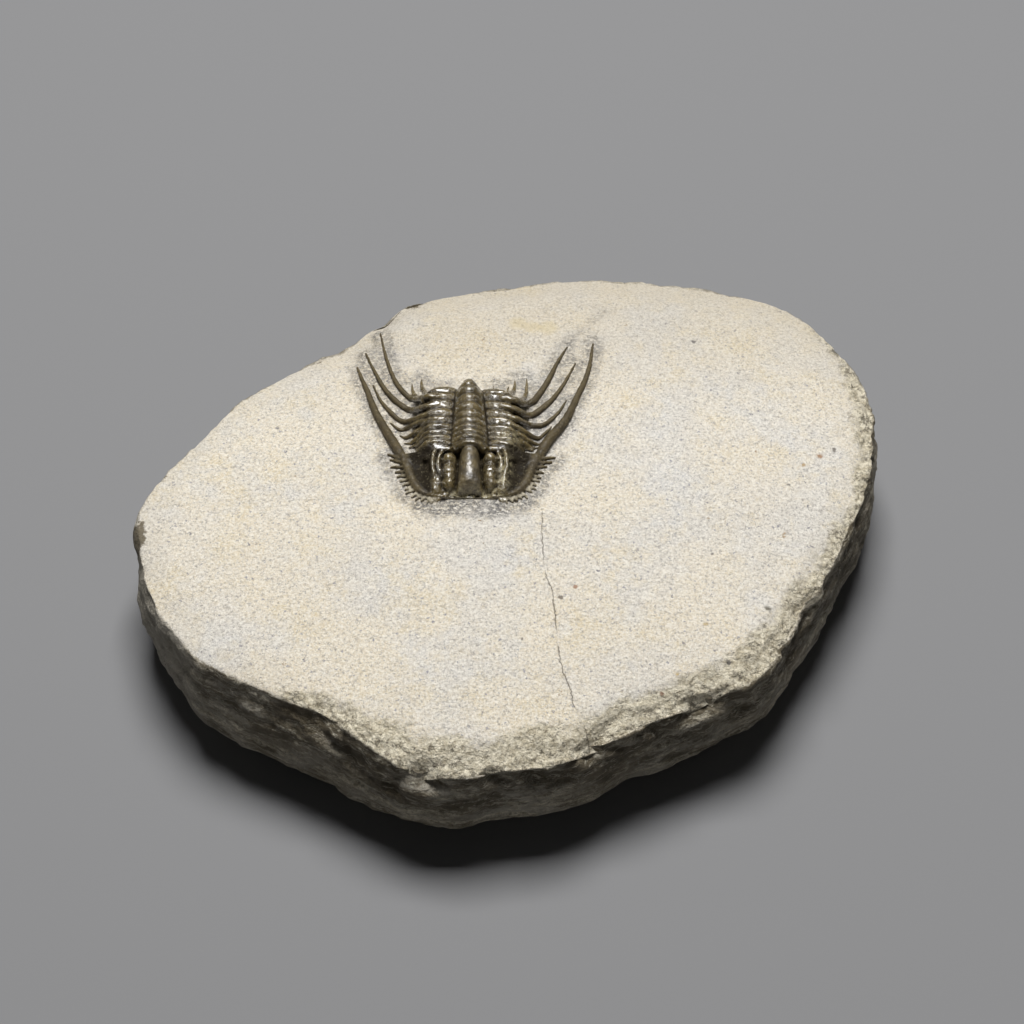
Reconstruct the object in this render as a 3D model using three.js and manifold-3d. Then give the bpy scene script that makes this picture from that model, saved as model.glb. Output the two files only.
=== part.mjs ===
// A spiny trilobite of the genus Leonaspis, standing in relief on its block of pale limestone.
// Millimetres, +Z up. The trilobite's head faces -Y and its spines sweep back towards +Y.
// The origin is under the middle of the block, on the surface that the block lies on.
import * as THREE from "three";
import { mergeVertices } from "three/addons/utils/BufferGeometryUtils.js";
import Module from "manifold-3d";

// Driving dimensions of the block.
const TOP_HEIGHT = 20.3; // the dressed face, at the middle of the block
const DOME_DROP = 2.3; // how far the dressed face falls from its middle to its rim
const BELLY_HEIGHT = 6.2; // below this the side turns under
const BASE_HALF_WIDTH = 34;
const BASE_HALF_DEPTH = 28;
const REAR_ROLL = 1.6; // extra fall of the dressed face towards the back rim
const CHIP_DROP = 1.3; // fall of the chipped bevel along the front and right rim

// Driving dimensions of the trilobite, in its own frame: the origin is on the bed that it lies on,
// under the middle of its front edge.
const FOSSIL_X = -5.9;
const FOSSIL_Y = -0.3;
const FOSSIL_Z = 20;
const BED_DEPTH = 0.7; // the prepared hollow round the trilobite, below the dressed face
const SEAT_GAP = 0.3; // clearance between the trilobite's underside and the block
const FINEST_DETAIL = 0.02; // slivers thinner than this are closed up after the parts are joined
const SEGMENTS = 10;
const FIRST_PITCH = 0.9; // length of the first thorax segment along the body
const PITCH_GROWTH = 0.1; // how much longer each further segment is
const RING_HEIGHT = 4.2; // crest of the first axial ring above the bed
const THORAX_HALF_WIDTH = 7.7;
const MARGINAL_SPINES = 14; // along each side of the head's border

// The block's rim seen from above, anticlockwise from the right.
const RIM = [
  [51.6, 12], [49.6, 2], [46.2, -5.5], [42.6, -13.2], [37.6, -21.8], [33.4, -28.6],
  [25.6, -33.4], [16, -37.8], [7.4, -42.8], [-2, -44.5], [-8, -45.5], [-12.6, -44.8],
  [-16.4, -42.2], [-23.6, -36.8], [-32.2, -32.4], [-41.2, -27.2], [-46.8, -20.4],
  [-49.9, -13.8], [-51.3, -6],
  [-51.2, 0.4], [-46.6, 8.4], [-39.4, 18.4], [-31, 25.9], [-24.2, 30.6], [-18.6, 37.8],
  [-12.6, 41], [-2, 43.2], [9.4, 45.2], [20.6, 44.4], [33.4, 41.6], [42.2, 36.8],
  [48, 28.4], [51.4, 20],
];
const RIM_CURVE = new THREE.CatmullRomCurve3(
  RIM.map(([x, y]) => new THREE.Vector3(x, y, 0)), true, "centripetal");
const RIM_SAMPLES = RIM_CURVE.getPoints(400);

const clamp01 = (t) => Math.min(1, Math.max(0, t));
const smooth = (from, to, v) => THREE.MathUtils.smoothstep(v, from, to);
const bump = (v, centre, width) => Math.exp(-(((v - centre) / width) ** 2));

// Straight-line interpolation through [input, output] pairs.
function along(table, v) {
  const last = table.length - 1;
  if (v <= table[0][0]) return table[0][1];
  for (let i = 1; i <= last; i++) {
    const [v0, w0] = table[i - 1];
    const [v1, w1] = table[i];
    if (v <= v1) return w0 + ((w1 - w0) * (v - v0)) / (v1 - v0);
  }
  return table[last][1];
}

// Gentle lumpiness, between about -1 and 1, the same every time.
function lumps(x, y, z, size) {
  const a = Math.sin((x * 1.0 + y * 0.35 + z * 0.6) / size + 1.3);
  const b = Math.sin((y * 1.1 - x * 0.42 + z * 0.9) / (size * 0.73) + 4.1);
  const c = Math.sin((x * 0.6 + y * 0.8 - z * 1.3) / (size * 0.47) + 2.2);
  return (a * b + 0.6 * c * a + 0.5 * b * c) / 1.6;
}

// Distance from a point to the rim along a direction, with both seen from above.
function rimDistance(fromX, fromY, angle) {
  const dx = Math.cos(angle);
  const dy = Math.sin(angle);
  let best = 0;
  for (let i = 0; i < RIM_SAMPLES.length - 1; i++) {
    const p = RIM_SAMPLES[i];
    const q = RIM_SAMPLES[i + 1];
    const sideP = (p.x - fromX) * dy - (p.y - fromY) * dx;
    const sideQ = (q.x - fromX) * dy - (q.y - fromY) * dx;
    if (sideP * sideQ > 0 || sideP === sideQ) continue;
    const t = sideP / (sideP - sideQ);
    const reach = (p.x + (q.x - p.x) * t - fromX) * dx + (p.y + (q.y - p.y) * t - fromY) * dy;
    best = Math.max(best, reach);
  }
  return best;
}

// 1 inside the prepared hollow round the trilobite, 0 on the dressed face outside it.
function bedShare(x, y) {
  const u = x - FOSSIL_X;
  const v = y - FOSSIL_Y;
  const halfWidth = along([[-3, 11.5], [4, 14.5], [12, 17], [22, 19.5], [31, 20]], v);
  const across = 1 - smooth(halfWidth - 1.6, halfWidth + 1.6, Math.abs(u - 0.4));
  const front = smooth(-3.6, -1.6, v);
  const rear = 1 - smooth(27, 33, v);
  return across * front * rear;
}

// Height of the dressed face. The chipped bevel and the roll at the back start inside the rim.
function topHeight(x, y) {
  const angle = Math.atan2(y, x);
  const share = clamp01(Math.hypot(x, y) / rimDistance(0, 0, angle));
  const frontRight = smooth(-0.55, 0.1, -Math.sin(angle + 0.55));
  const back = smooth(0.45, 0.95, Math.sin(angle));
  const chip = smooth(0.87, 1, share) * frontRight;
  return (
    TOP_HEIGHT -
    DOME_DROP * share ** 3 -
    REAR_ROLL * back * smooth(0.84, 1, share) -
    chip * (CHIP_DROP + 0.7 * lumps(x, y, 0, 2.3)) +
    0.12 * lumps(x, y, 0, 7) -
    BED_DEPTH * bedShare(x, y)
  );
}

// A closed surface from rows of points that each run once round the body, with a flat cap on each end.
function loft(rows) {
  const count = rows[0].length;
  const positions = rows.flat().flatMap((p) => [p.x, p.y, p.z]);
  const index = [];
  for (let row = 0; row < rows.length - 1; row++) {
    for (let i = 0; i < count; i++) {
      const next = (i + 1) % count;
      const a = row * count + i;
      const b = row * count + next;
      index.push(a, b, b + count, a, b + count, a + count);
    }
  }
  for (const [row, reversed] of [[0, true], [rows.length - 1, false]]) {
    const middle = rows[row]
      .reduce((sum, p) => sum.add(p), new THREE.Vector3())
      .divideScalar(count);
    const hub = positions.length / 3;
    positions.push(middle.x, middle.y, middle.z);
    for (let i = 0; i < count; i++) {
      const a = row * count + i;
      const b = row * count + ((i + 1) % count);
      index.push(hub, reversed ? b : a, reversed ? a : b);
    }
  }
  return new THREE.BufferGeometry()
    .setAttribute("position", new THREE.Float32BufferAttribute(positions, 3))
    .setIndex(index);
}

// The block: rings of points that spread from the trilobite's middle over the dressed face to the rim,
// then down the side and in under the belly to the flat base.
function limestoneGeometry() {
  const sectors = 68;
  const middleX = FOSSIL_X;
  const middleY = FOSSIL_Y + 11;
  const nearRadii = [0.05, 3, 6, 9, 11.5, 14, 16.5, 19, 22];
  const outerShares = [0.2, 0.42, 0.62, 0.78, 0.9, 0.97, 1];
  const rings = [];
  const ring = (place) => {
    const points = [];
    for (let i = 0; i < sectors; i++) points.push(place((i / sectors) * Math.PI * 2));
    rings.push(points);
  };
  const onTop = (x, y) => new THREE.Vector3(x, y, topHeight(x, y));
  for (const r of nearRadii)
    ring((a) => onTop(middleX + r * Math.cos(a), middleY + r * Math.sin(a)));
  for (const share of outerShares)
    ring((a) => {
      const nearest = nearRadii.at(-1);
      const r = nearest + (rimDistance(middleX, middleY, a) - nearest) * share;
      return onTop(middleX + r * Math.cos(a), middleY + r * Math.sin(a));
    });
  const rim = rings.at(-1);
  // Each row of the side: how far down from the rim to the belly, and how far out from the rim.
  for (const [down, out] of [[0.22, 0.35], [0.5, 0.6], [0.78, 0.6], [1, 0.3]])
    ring((a) => {
      const edge = rim[Math.round((a / (Math.PI * 2)) * sectors) % sectors];
      const angle = Math.atan2(edge.y, edge.x);
      const z = edge.z + (BELLY_HEIGHT - edge.z) * down;
      const push = out + 0.55 * lumps(edge.x, edge.y, z * 2.2, 3.1);
      return new THREE.Vector3(edge.x + push * Math.cos(angle), edge.y + push * Math.sin(angle), z);
    });
  const belly = rings.at(-1);
  for (const [inward, z] of [[0.3, 3.6], [0.68, 1.2], [1, 0]])
    ring((a) => {
      const from = belly[Math.round((a / (Math.PI * 2)) * sectors) % sectors];
      const angle = Math.atan2(from.y, from.x);
      const reach = 1 + 0.06 * lumps(from.x, from.y, 0, 9);
      const baseX = BASE_HALF_WIDTH * reach * Math.cos(angle);
      const baseY = BASE_HALF_DEPTH * reach * Math.sin(angle);
      const uneven = inward < 1 ? 0.4 * lumps(from.x, from.y, 6, 4) : 0;
      return new THREE.Vector3(
        from.x + (baseX - from.x) * inward, from.y + (baseY - from.y) * inward, z + uneven);
    });
  return loft(rings.reverse());
}

// A tapering tube along a smooth curve: a cylinder whose rings are laid along the curve.
function spine({ path, radius, tip = 0.12, sides = 6, steps = 6 }) {
  const curve = new THREE.CatmullRomCurve3(path.map((p) => new THREE.Vector3(...p)));
  const geometry = new THREE.CylinderGeometry(1, 1, 1, sides, steps);
  const position = geometry.attributes.position;
  const up = new THREE.Vector3(0, 0, 1);
  for (let i = 0; i < position.count; i++) {
    const t = clamp01(position.getY(i) + 0.5);
    const tangent = curve.getTangent(t);
    const side = new THREE.Vector3().crossVectors(tangent, up).normalize();
    const above = new THREE.Vector3().crossVectors(side, tangent);
    const r = tip + (radius - tip) * (1 - t) ** 0.8;
    const point = curve
      .getPoint(t)
      .addScaledVector(side, r * position.getX(i))
      .addScaledVector(above, r * position.getZ(i));
    position.setXYZ(i, point.x, point.y, point.z);
  }
  return geometry;
}

// Half the head's width at each distance back from its front edge.
const HEAD_OUTLINE = [
  [-1.1, 5.2], [-0.8, 6.6], [-0.2, 7.5], [0.8, 8.2], [2.4, 8.9], [4.6, 9.5], [6.2, 10], [7, 10.2],
];

// The head's cross-section: distance out from the middle, height, and how far forward it keeps that
// height. From the middle: glabella, furrow, side lobes, furrow, eye ridge, cheek.
const HEAD_SECTION = [
  [0, 3.75, 4.4], [0.8, 3.5, 4.4], [1.4, 2.7, 4.2], [1.75, 1.6, 3.6], [2.5, 2.9, 3.2],
  [3.2, 2.7, 3], [3.7, 1.9, 2.8], [4.7, 2.55, 2.9], [5, 2.75, 3], [5.4, 2.1, 2.7], [6.4, 1.45, 2.2],
];

// The head shield, in rows from its front edge back to the occipital ring.
function headGeometry() {
  const border = [[1.4, 0.55], [0.7, 0.95], [0.25, 0.75], [0, 0.35]]; // inset from the edge, height
  const rows = [-1.1, -0.8, -0.3, 0.4, 1.3, 2.4, 3.6, 4.8, 5.7, 6.2, 6.7, 7].map((y) => {
    const edge = along(HEAD_OUTLINE, y);
    const squeeze = Math.min(1, (edge - 1.7) / 6.4);
    const half = HEAD_SECTION.map(([x, height, reach]) => {
      const fall = clamp01((reach - y) / (reach + 0.9));
      return [x * squeeze, 0.4 + (height - 0.4) * Math.sqrt(1 - fall * fall)];
    });
    for (const [inset, height] of border) half.push([edge - inset, height]);
    // The occipital ring arches over the middle behind a shallow furrow.
    for (const point of half.slice(0, 4)) {
      point[1] += 0.3 * bump(y, 6.7, 0.45) - 0.35 * bump(y, 5.8, 0.35);
    }
    const right = half.map(([x, z]) => new THREE.Vector3(x, y, z));
    const left = half.slice(1).reverse().map(([x, z]) => new THREE.Vector3(-x, y, z));
    return [...left, ...right, new THREE.Vector3(edge, y, -1), new THREE.Vector3(-edge, y, -1)];
  });
  return loft(rows);
}

// The thorax's cross-section: distance out from the middle and height above the bed.
// From the middle: axial ring, axial furrow, pleural field, its fold, and the margin.
const THORAX_SECTION = [
  [0, 4.2], [0.95, 3.98], [1.75, 3.3], [2.35, 2.55], [3, 2.9], [4.6, 3.05], [5.9, 2.75],
  [6.9, 1.8], [7.7, 0.7],
];
const TURN_SEGMENT = 8; // behind this segment the body curls down
const CURL = 78 * THREE.MathUtils.DEG2RAD;
const HINGE_HEIGHT = 0.35; // height of the line that the rear end curls about

// Where each segment starts along the body, and where the last one ends.
function segmentStarts() {
  const starts = [7];
  for (let k = 0; k < SEGMENTS; k++) starts.push(starts[k] + FIRST_PITCH + PITCH_GROWTH * k);
  return starts;
}

// One row of the thorax or tail. "at" counts segments from the head.
function thoraxRow(at, crest) {
  const starts = segmentStarts();
  const whole = THREE.MathUtils.clamp(Math.floor(at), 0, SEGMENTS - 1);
  const straight = starts[whole] + (starts[whole + 1] - starts[whole]) * (at - whole);
  const turn = starts[TURN_SEGMENT];
  const y = Math.min(straight, turn);
  const bend = CURL * clamp01((at - TURN_SEGMENT) / (SEGMENTS + 1.6 - TURN_SEGMENT));
  const narrow = along([[0, 1], [TURN_SEGMENT, 0.93], [SEGMENTS, 0.84], [11.6, 0.5]], at);
  const tall = along([[0, 1], [5, 1.1], [TURN_SEGMENT, 1.13], [SEGMENTS, 0.98], [11.6, 0.72]], at);
  const furrow = crest ? 0 : 1;
  const skew = -0.016 * (y - 7); // the body bends slightly to its right
  const lay = (x, height) => {
    const reach = Math.max(0.1, height * tall - HINGE_HEIGHT);
    return new THREE.Vector3(
      x * narrow + skew, y + reach * Math.sin(bend), HINGE_HEIGHT + reach * Math.cos(bend));
  };
  const half = THORAX_SECTION.map(([x, height]) => {
    const cut = x < 2 ? 0.38 : x < 6.5 && x > 2.5 ? 0.3 : 0.1;
    return [x, height - furrow * cut];
  });
  const right = half.map(([x, z]) => lay(x, z));
  const left = half.slice(1).reverse().map(([x, z]) => lay(-x, z));
  const edge = THORAX_HALF_WIDTH * narrow;
  return [
    ...left, ...right,
    new THREE.Vector3(edge + skew, y, -1), new THREE.Vector3(-edge + skew, y, -1),
  ];
}

// The ten thorax segments and the small tail, as one ridged body.
function thoraxGeometry() {
  const rows = [thoraxRow(-0.35, false)];
  for (let k = 0; k < SEGMENTS; k++) {
    rows.push(thoraxRow(k, false), thoraxRow(k + 0.35, true), thoraxRow(k + 0.75, true));
  }
  rows.push(thoraxRow(SEGMENTS, false), thoraxRow(10.6, true), thoraxRow(11.6, true));
  return loft(rows);
}

// Spines of the head's corners and of the rear segments, each from its root to its tip.
const LONG_SPINES = [
  { radius: 0.85, tip: 0.28, path: [
    [-8.7, 5, 0.7], [-10, 8, 1], [-13.2, 14.4, 1.1], [-14.9, 19.2, 0.8], [-16.5, 24.3, 0.3]] },
  { radius: 0.85, tip: 0.22, path: [
    [8.7, 5, 0.7], [10.5, 8.4, 1], [13.4, 13.3, 1.2], [15.1, 17.8, 1.1], [16.8, 22.9, 0.8],
    [17.7, 29, 0.3]] },
  { radius: 0.6, tip: 0.2, path: [
    [-6, 16.2, 2.2], [-8.2, 17.2, 1.3], [-9.5, 18.8, 1], [-10.9, 21.3, 0.9], [-12.3, 25.8, 0.7],
    [-13.4, 31.2, 0.3]] },
  { radius: 0.62, tip: 0.18, path: [
    [6, 15.6, 2.2], [7.8, 16, 1.5], [9.4, 17.6, 1.1], [11.2, 21.6, 0.9], [12.5, 25.1, 0.7],
    [13.9, 28.3, 0.3]] },
  { radius: 0.58, tip: 0.24, path: [
    [-6.2, 14.4, 2.2], [-8.4, 15.1, 1.2], [-10.2, 16.7, 1], [-12.2, 19.4, 0.9], [-13.8, 22.9, 0.7],
    [-15.4, 27.2, 0.3]] },
  { radius: 0.58, tip: 0.18, path: [
    [6.2, 13.8, 2.2], [9, 14.5, 1.2], [10.5, 16.1, 1], [11.9, 18, 0.9], [13.6, 21.2, 0.7],
    [15.1, 25.2, 0.3]] },
  { radius: 0.5, tip: 0.16, path: [
    [-6.4, 13, 2.1], [-9.2, 13.2, 1], [-11.2, 14.9, 0.9], [-12.9, 17.7, 0.6], [-14.1, 21, 0.25]] },
  { radius: 0.5, tip: 0.16, path: [
    [6.4, 12.2, 2.1], [9.6, 12.4, 1.1], [11.2, 13.4, 0.9], [12.7, 15.6, 0.6], [13.7, 18, 0.25]] },
];
const SHORT_SPINES = [
  { radius: 0.46, path: [[-6.8, 12, 1.8], [-8.8, 11.9, 1], [-10, 12, 0.8], [-11.4, 13.4, 0.3]] },
  { radius: 0.46, path: [[6.8, 10.9, 1.8], [9.2, 10.3, 1], [10.4, 11.1, 0.8], [11.5, 12.6, 0.3]] },
  { radius: 0.44, path: [[-6.9, 10.7, 1.7], [-8.9, 10.4, 0.9], [-10.1, 11, 0.3]] },
  { radius: 0.44, path: [[6.9, 9.8, 1.7], [9.2, 9.2, 0.9], [10.5, 9.9, 0.3]] },
  { radius: 0.42, path: [[-6.9, 9.6, 1.6], [-8.4, 9.3, 0.9], [-9.4, 9.6, 0.3]] },
  { radius: 0.42, path: [[6.9, 8.8, 1.6], [8.6, 8.4, 0.9], [9.6, 8.8, 0.3]] },
  { radius: 0.4, path: [[-6.9, 8.5, 1.6], [-8.1, 8.4, 0.8], [-8.8, 8.6, 0.4]] },
  { radius: 0.4, path: [[6.9, 7.9, 1.6], [8.2, 7.8, 0.8], [9, 8.1, 0.4]] },
  { radius: 0.42, path: [[-6.2, 17.2, 1.2], [-7.6, 18.6, 0.9], [-8.5, 21.2, 0.3]] },
  { radius: 0.42, path: [[6.4, 16.8, 1.2], [7.7, 18.6, 0.9], [8, 22.1, 0.3]] },
  { radius: 0.42, path: [[-5.4, 17.2, 1.2], [-6.9, 19.4, 0.8], [-7.1, 22.1, 0.3]] },
  { radius: 0.4, path: [[4.6, 17.2, 1.2], [6, 19.4, 0.8], [6.3, 21.9, 0.3]] },
  { radius: 0.32, path: [[-3.4, 18, 0.8], [-4.8, 19.9, 0.6], [-5.2, 21.4, 0.3]] },
  { radius: 0.32, path: [[3.6, 18, 0.8], [4.9, 19.9, 0.6], [5.3, 21.6, 0.3]] },
  { radius: 0.3, path: [[-1.8, 18.4, 0.7], [-2.9, 20, 0.5], [-3.1, 21.3, 0.3]] },
  { radius: 0.3, path: [[2, 18.4, 0.7], [3, 20, 0.5], [3.2, 21.3, 0.3]] },
];

// Where the head's border carries a marginal spine, and how far the spine turns from straight
// sideways towards the front. The share runs from the front corner back to the genal spine.
const COMB_X = [[0, 4], [0.2, 5.9], [0.36, 7.3], [0.5, 8.1], [0.75, 8.9], [1, 9.7]];
const COMB_Y = [[0, -1], [0.2, -0.6], [0.36, 0.2], [0.5, 1.3], [0.75, 3.7], [1, 6.4]];
const COMB_TURN = [[0, 62], [0.36, 34], [0.5, 18], [0.75, 0], [1, -26]];
const COMB_LENGTH = [[0, 0.7], [0.36, 1.1], [0.75, 1.5], [1, 2.5]];

// The comb of short spines along both sides of the head's border.
function marginalSpines() {
  const made = [];
  for (const hand of [-1, 1]) {
    for (let k = 0; k < MARGINAL_SPINES; k++) {
      const share = k / (MARGINAL_SPINES - 1);
      const turn = along(COMB_TURN, share) * THREE.MathUtils.DEG2RAD;
      const out = Math.cos(turn);
      const forward = Math.sin(turn);
      const at = (reach, z) => [
        hand * (along(COMB_X, share) + reach * out), along(COMB_Y, share) - reach * forward, z];
      const path = [at(-0.4, 0.5), at(along(COMB_LENGTH, share), 0.2)];
      made.push({ radius: 0.24, tip: 0.1, sides: 5, steps: 1, path });
    }
  }
  return made;
}

const wasm = await Module();
wasm.setup();

// A closed three.js geometry as a solid that can be joined and cut.
function solid(geometry) {
  const bare = geometry.clone();
  bare.deleteAttribute("normal");
  bare.deleteAttribute("uv");
  const merged = mergeVertices(bare, 1e-4);
  return new wasm.Manifold(
    new wasm.Mesh({
      numProp: 3,
      vertProperties: merged.attributes.position.array,
      triVerts: new Uint32Array(merged.index.array),
    }),
  );
}

function geometryOf(made) {
  const mesh = made.getMesh();
  return new THREE.BufferGeometry()
    .setAttribute("position", new THREE.BufferAttribute(mesh.vertProperties, 3))
    .setIndex(new THREE.BufferAttribute(mesh.triVerts, 1));
}

// The whole shell, cut to stand a hair above the block.
function trilobiteGeometry(block) {
  const parts = [
    headGeometry(),
    thoraxGeometry(),
    ...LONG_SPINES.map((long) => spine({ sides: 7, steps: 8, ...long })),
    ...SHORT_SPINES.map((short) => spine({ sides: 5, steps: 3, ...short })),
    ...marginalSpines().map(spine),
  ];
  const shell = parts
    .map(solid)
    .reduce((whole, part) => whole.add(part))
    .translate([FOSSIL_X, FOSSIL_Y, FOSSIL_Z])
    .subtract(block.translate([0, 0, SEAT_GAP]));
  const pieces = shell.simplify(FINEST_DETAIL).decompose();
  return geometryOf(pieces.reduce((a, b) => (a.volume() > b.volume() ? a : b)));
}

const limestone = new THREE.Mesh(
  limestoneGeometry(),
  new THREE.MeshStandardMaterial({ color: "#d9cfb8", roughness: 0.92, metalness: 0 }),
);
limestone.name = "limestone_block";

const trilobite = new THREE.Mesh(
  trilobiteGeometry(solid(limestone.geometry)),
  new THREE.MeshStandardMaterial({ color: "#4a4030", roughness: 0.35, metalness: 0 }),
);
trilobite.name = "trilobite";

const fossil = new THREE.Group();
fossil.add(limestone, trilobite);

export default fossil;
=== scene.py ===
"""A spiny trilobite on its block of pale limestone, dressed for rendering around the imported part.

Shapes are worked out in millimetres and become metres when their mesh is made. The part's frame has its
origin under the middle of the block. The trilobite's own frame starts on the bed that it lies on, under the
middle of its front edge, with x to the viewer's right and y towards its tail.
"""

import math

import bpy
import numpy as np
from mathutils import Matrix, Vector
from mathutils.kdtree import KDTree


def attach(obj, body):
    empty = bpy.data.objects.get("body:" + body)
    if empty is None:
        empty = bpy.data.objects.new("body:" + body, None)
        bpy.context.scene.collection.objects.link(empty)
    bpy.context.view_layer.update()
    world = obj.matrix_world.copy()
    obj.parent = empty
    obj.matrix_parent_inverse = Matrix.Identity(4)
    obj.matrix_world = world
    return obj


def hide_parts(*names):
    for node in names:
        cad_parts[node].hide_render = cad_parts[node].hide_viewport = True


MM = 0.001

# The photograph's view.
VIEW_ELEVATION = math.radians(50)
VIEW_DISTANCE = 392.5
VIEW_TARGET = (0.0, -3.0, 20.0)
LENS = 100
SENSOR = 36

# The block.
TOP_HEIGHT = 20.3
DOME_DROP = 2.3
BELLY_HEIGHT = 6.2
BASE_HALF_WIDTH = 34
BASE_HALF_DEPTH = 28
REAR_ROLL = 1.6  # extra fall of the dressed face towards the back rim
CHIP_DROP = 1.25  # fall of the chipped bevel
BED_DEPTH = 0.4  # depth of the prepared hollow round the trilobite
LEDGE_HEIGHT = 2.6
BLOCK_SECTORS = 460
FINE_RADIUS = 22  # the block's mesh is finest this near to the trilobite

# The trilobite. The thorax and tail are measured along the body, from the head's front edge.
FOSSIL_ORIGIN = np.array([-5.9, -0.3, 20.0])
SHELL_DETAIL = 0.137  # grain of the fused skin
THORAX_START = 7.0
CURL_START = 17.0
TAIL_END = 22.4
CURL_REACH = 4.1  # length of body that curls down by one radian
HINGE_HEIGHT = 0.35  # height of the line that the rear end curls about
THORAX_HALF_WIDTH = 7.7
BURIED = -0.9  # the skin runs this far down into the rock
TUBE_SIDES = 12
TUBE_SPACING = 0.3

NOWHERE = -9.0  # a height below every surface
FLOOR_HALF_WIDTH = 4000

# The block's rim seen from above, anticlockwise from the right.
RIM = [
    (51.6, 12), (49.6, 2), (46.2, -5.5), (42.6, -13.2), (37.6, -21.8), (33.4, -28.6),
    (25.6, -33.4), (16, -37.8), (7.4, -42.8), (-2, -44.5), (-8, -45.5), (-12.6, -44.8),
    (-16.4, -42.2), (-23.6, -36.8), (-32.2, -32.4), (-41.2, -27.2), (-46.8, -20.4),
    (-49.9, -13.8), (-51.3, -6), (-51.2, 0.4), (-46.6, 8.4), (-39.4, 18.4), (-31, 25.9),
    (-24.2, 30.6), (-18.6, 37.8), (-12.6, 41), (-2, 43.2), (9.4, 45.2), (20.6, 44.4),
    (33.4, 41.6), (42.2, 36.8), (48, 28.4), (51.4, 20),
]

# Bosses and notches on the rim that the outer crust coats: centre, radius and height.
RIM_BOSSES = [
    ((-51.2, -5.6, 16.6), 3.0, 0.6),
    ((-50, 5.5, 16.5), 2.2, 0.3),
    ((-19.6, 37.6, 17.5), 2.2, -1.6),
    ((-14.6, 40.8, 17.5), 2.0, -0.5),
]

# Swellings low down on the front left: centre, radius and height.
BELLY_BULGES = [((-24, -38, 7), 9, 2.1), ((-38, -31, 7), 9, 1.6)]

# The crack across the dressed face, from beside the trilobite to the front rim.
CRACK = [
    (4.3, -0.6), (4.2, -3.9), (4.1, -6.7), (4.2, -9.6), (4.4, -12.7), (4.7, -14.7), (5.4, -16.9),
    (5.6, -19), (5.8, -21.6), (6, -24.2), (6.1, -26.8), (6.6, -29.4), (7.1, -31.3), (7.8, -33),
    (7.9, -34.8), (8.6, -36.2), (9.5, -38.2), (10.2, -40.6),
]

# Random directions and their order, for the relief.
GRADIENTS = np.random.default_rng(11).normal(size=(256, 3))
GRADIENTS /= np.linalg.norm(GRADIENTS, axis=1, keepdims=True)
ORDER = np.random.default_rng(12).permutation(256)


def smooth(start, end, value):
    """0 at start, 1 at end, easing in and out between them."""
    t = np.clip((value - start) / (end - start), 0, 1)
    return t * t * (3 - 2 * t)


def bump(value, centre, width):
    """1 at the centre, falling to 0 on both sides of it."""
    return np.exp(-(((value - centre) / width) ** 2))


def lumps(points, size, seed=0):
    """Smooth random relief with features about size across, between about -1 and 1."""
    p = points / size + seed * 17.31
    cell = np.floor(p).astype(int)
    inside = p - cell
    ease = inside**3 * (inside * (inside * 6 - 15) + 10)
    total = np.zeros(len(p))
    for corner in np.ndindex(2, 2, 2):
        at = cell + corner
        pick = ORDER[(ORDER[(ORDER[at[:, 0] & 255] + at[:, 1]) & 255] + at[:, 2]) & 255]
        weight = np.where(corner, ease, 1 - ease).prod(axis=1)
        total += weight * (GRADIENTS[pick] * (inside - corner)).sum(axis=1)
    return 1.6 * total


def rough(points, size, octaves=4, seed=0, gain=0.5):
    """Relief with ever finer detail on top of features about size across."""
    return sum(gain**k * lumps(points, size / 2**k, seed + k) for k in range(octaves))


def spline(a, b, c, d, t):
    """The smooth curve from b (t = 0) to c (t = 1), with a before them and d after."""
    return 0.5 * (
        2 * b + (c - a) * t + (2 * a - 5 * b + 4 * c - d) * t**2 + (3 * b - a - 3 * c + d) * t**3)


def closed_curve(points, steps):
    """A smooth closed curve through points, with that many steps between each two."""
    p = np.array(points, float)
    t = np.linspace(0, 1, steps, endpoint=False)[None, :, None]
    four = (np.roll(p, shift, 0)[:, None, :] for shift in (1, 0, -1, -2))
    return spline(*four, t).reshape(-1, p.shape[1])


def open_curve(points, spacing):
    """A smooth open curve through points of any dimension, sampled about every spacing."""
    p = np.array(points, float)
    ends = np.vstack([2 * p[0] - p[1], p, 2 * p[-1] - p[-2]])
    t = np.linspace(0, 1, 16, endpoint=False)[:, None]
    parts = [spline(*four, t) for four in zip(ends, ends[1:], ends[2:], ends[3:])]
    curve = np.vstack([*parts, p[-1:]])
    lengths = np.linalg.norm(np.diff(curve[:, :3], axis=0), axis=1)
    run = np.concatenate([[0], np.cumsum(lengths)])
    stops = np.linspace(0, run[-1], max(3, int(run[-1] / spacing) + 1))
    return np.stack([np.interp(stops, run, column) for column in curve.T], axis=1)


def add_object(name, data):
    thing = bpy.data.objects.new(name, data)
    bpy.context.scene.collection.objects.link(thing)
    return thing


def shade_smooth(mesh):
    mesh.polygons.foreach_set("use_smooth", [True] * len(mesh.polygons))


def make_mesh(name, points, faces):
    mesh = bpy.data.meshes.new(name)
    mesh.from_pydata(np.asarray(points).tolist(), [], faces)
    mesh.update()
    shade_smooth(mesh)
    return add_object(name, mesh)


def read_vectors(items, field):
    flat = np.empty(len(items) * 3)
    items.foreach_get(field, flat)
    return flat.reshape(-1, 3)


def write_points(mesh, points):
    mesh.vertices.foreach_set("co", np.asarray(points, float).ravel())
    mesh.update()


def paint(mesh, layers):
    """Stores named layers of one number per vertex for the material to read."""
    for name, values in layers.items():
        layer = mesh.attributes.new(name, "FLOAT", "POINT")
        layer.data.foreach_set("value", np.asarray(values, float))


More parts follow.
